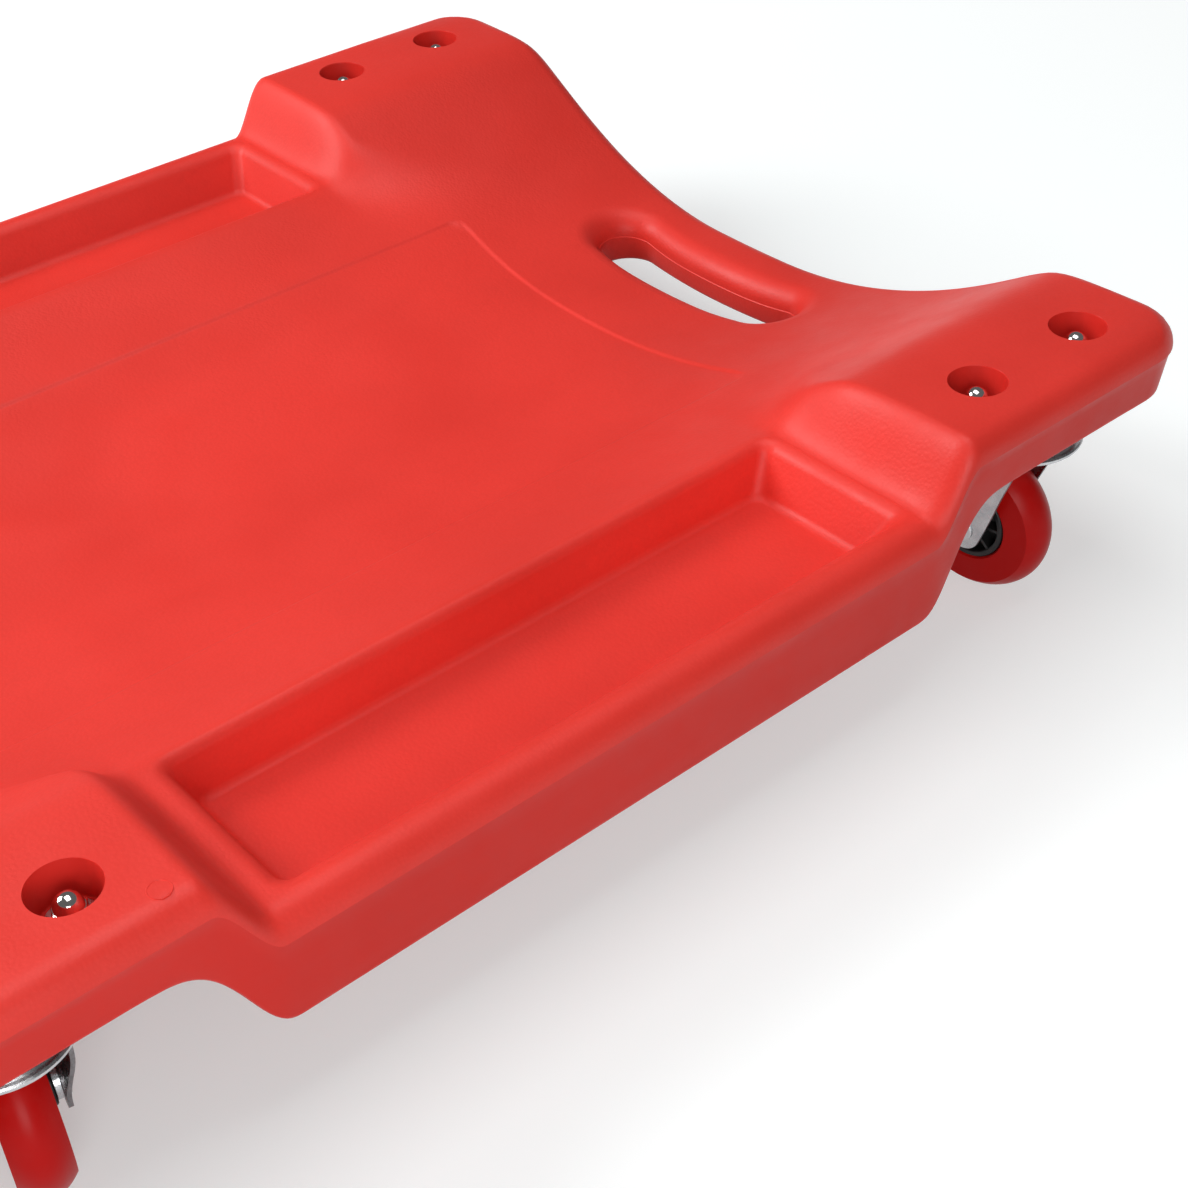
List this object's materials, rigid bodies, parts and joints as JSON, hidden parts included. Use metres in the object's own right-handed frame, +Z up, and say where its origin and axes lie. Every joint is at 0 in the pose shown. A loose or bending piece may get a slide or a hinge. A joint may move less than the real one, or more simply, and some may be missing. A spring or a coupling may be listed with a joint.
{
  "type": "mechanic creeper",
  "caption": "Low mechanic creeper: a moulded cradle deck with raised ears, side tool trays and a handle slot, on swivel casters, with a padded headrest.",
  "frame": {"origin": "centre of the footprint, on the floor under the wheels", "axes": "+X along the deck to the handle end, +Y to the far tray, +Z up"},
  "size_m": [1.004, 0.47, 0.1196],
  "materials": {
    "deck_plastic": "fine pebble grain on top, smooth drafted skirt",
    "vinyl": "soft black vinyl with a fine grain",
    "board": "bare plywood",
    "zinc": "bright zinc plate",
    "chrome": "polished nickel plate",
    "tyre": "satin moulded polyurethane",
    "hub_plastic": "satin black nylon"
  },
  "bodies": {
    "deck": {"deck": "deck_plastic", "headrest_board": "board", "headrest_pad": "vinyl", "headrest_screw_1": "zinc", "headrest_screw_2": "zinc", "plate_head_near": "zinc", "bolt_head_near_1": "zinc", "cap_nut_head_near_1": "chrome", "bolt_head_near_2": "zinc", "cap_nut_head_near_2": "chrome", "plate_head_far": "zinc", "bolt_head_far_1": "zinc", "cap_nut_head_far_1": "chrome", "bolt_head_far_2": "zinc", "cap_nut_head_far_2": "chrome", "plate_middle_near": "zinc", "bolt_middle_near_1": "zinc", "cap_nut_middle_near_1": "chrome", "bolt_middle_near_2": "zinc", "cap_nut_middle_near_2": "chrome", "plate_middle_far": "zinc", "bolt_middle_far_1": "zinc", "cap_nut_middle_far_1": "chrome", "bolt_middle_far_2": "zinc", "cap_nut_middle_far_2": "chrome", "plate_foot_near": "zinc", "bolt_foot_near_1": "zinc", "cap_nut_foot_near_1": "chrome", "bolt_foot_near_2": "zinc", "cap_nut_foot_near_2": "chrome", "plate_foot_far": "zinc", "bolt_foot_far_1": "zinc", "cap_nut_foot_far_1": "chrome", "bolt_foot_far_2": "zinc", "cap_nut_foot_far_2": "chrome"},
    "swivel_head_near": {"fork_head_near": "zinc", "axle_head_near": "zinc"},
    "wheel_head_near": {"tyre_head_near": "tyre", "hub_head_near": "hub_plastic"},
    "swivel_head_far": {"fork_head_far": "zinc", "axle_head_far": "zinc"},
    "wheel_head_far": {"tyre_head_far": "tyre", "hub_head_far": "hub_plastic"},
    "swivel_middle_near": {"fork_middle_near": "zinc", "axle_middle_near": "zinc"},
    "wheel_middle_near": {"tyre_middle_near": "tyre", "hub_middle_near": "hub_plastic"},
    "swivel_middle_far": {"fork_middle_far": "zinc", "axle_middle_far": "zinc"},
    "wheel_middle_far": {"tyre_middle_far": "tyre", "hub_middle_far": "hub_plastic"},
    "swivel_foot_near": {"fork_foot_near": "zinc", "axle_foot_near": "zinc"},
    "wheel_foot_near": {"tyre_foot_near": "tyre", "hub_foot_near": "hub_plastic"},
    "swivel_foot_far": {"fork_foot_far": "zinc", "axle_foot_far": "zinc"},
    "wheel_foot_far": {"tyre_foot_far": "tyre", "hub_foot_far": "hub_plastic"}
  },
  "joints": [
    {"name": "swivel_head_near", "type": "hinge", "parent": "deck", "child": "swivel_head_near", "pos_m": [-0.435, -0.2055, 0.08], "axis": [0, 0, 1], "continuous": true},
    {"name": "roll_head_near", "type": "hinge", "parent": "swivel_head_near", "child": "wheel_head_near", "pos_m": [-0.43281, -0.19167, 0.032], "axis": [0.9877, -0.1564, 0], "continuous": true},
    {"name": "swivel_head_far", "type": "hinge", "parent": "deck", "child": "swivel_head_far", "pos_m": [-0.435, 0.2055, 0.08], "axis": [0, 0, 1], "continuous": true},
    {"name": "roll_head_far", "type": "hinge", "parent": "swivel_head_far", "child": "wheel_head_far", "pos_m": [-0.43695, 0.19164, 0.032], "axis": [-0.9903, 0.1392, 0], "continuous": true},
    {"name": "swivel_middle_near", "type": "hinge", "parent": "deck", "child": "swivel_middle_near", "pos_m": [0, -0.2055, 0.08], "axis": [0, 0, 1], "continuous": true},
    {"name": "roll_middle_near", "type": "hinge", "parent": "swivel_middle_near", "child": "wheel_middle_near", "pos_m": [0.00291, -0.19181, 0.032], "axis": [0.9781, -0.2079, 0], "continuous": true},
    {"name": "swivel_middle_far", "type": "hinge", "parent": "deck", "child": "swivel_middle_far", "pos_m": [0, 0.2055, 0.08], "axis": [0, 0, 1], "continuous": true},
    {"name": "roll_middle_far", "type": "hinge", "parent": "swivel_middle_far", "child": "wheel_middle_far", "pos_m": [-0.007, 0.19338, 0.032], "axis": [-0.866, 0.5, 0], "continuous": true},
    {"name": "swivel_foot_near", "type": "hinge", "parent": "deck", "child": "swivel_foot_near", "pos_m": [0.435, -0.2055, 0.08], "axis": [0, 0, 1], "continuous": true},
    {"name": "roll_foot_near", "type": "hinge", "parent": "swivel_foot_near", "child": "wheel_foot_near", "pos_m": [0.43354, -0.19158, 0.032], "axis": [0.9945, 0.1045, 0], "continuous": true},
    {"name": "swivel_foot_far", "type": "hinge", "parent": "deck", "child": "swivel_foot_far", "pos_m": [0.435, 0.2055, 0.08], "axis": [0, 0, 1], "continuous": true},
    {"name": "roll_foot_far", "type": "hinge", "parent": "swivel_foot_far", "child": "wheel_foot_far", "pos_m": [0.42121, 0.20307, 0.032], "axis": [-0.1736, 0.9848, 0], "continuous": true}
  ]
}
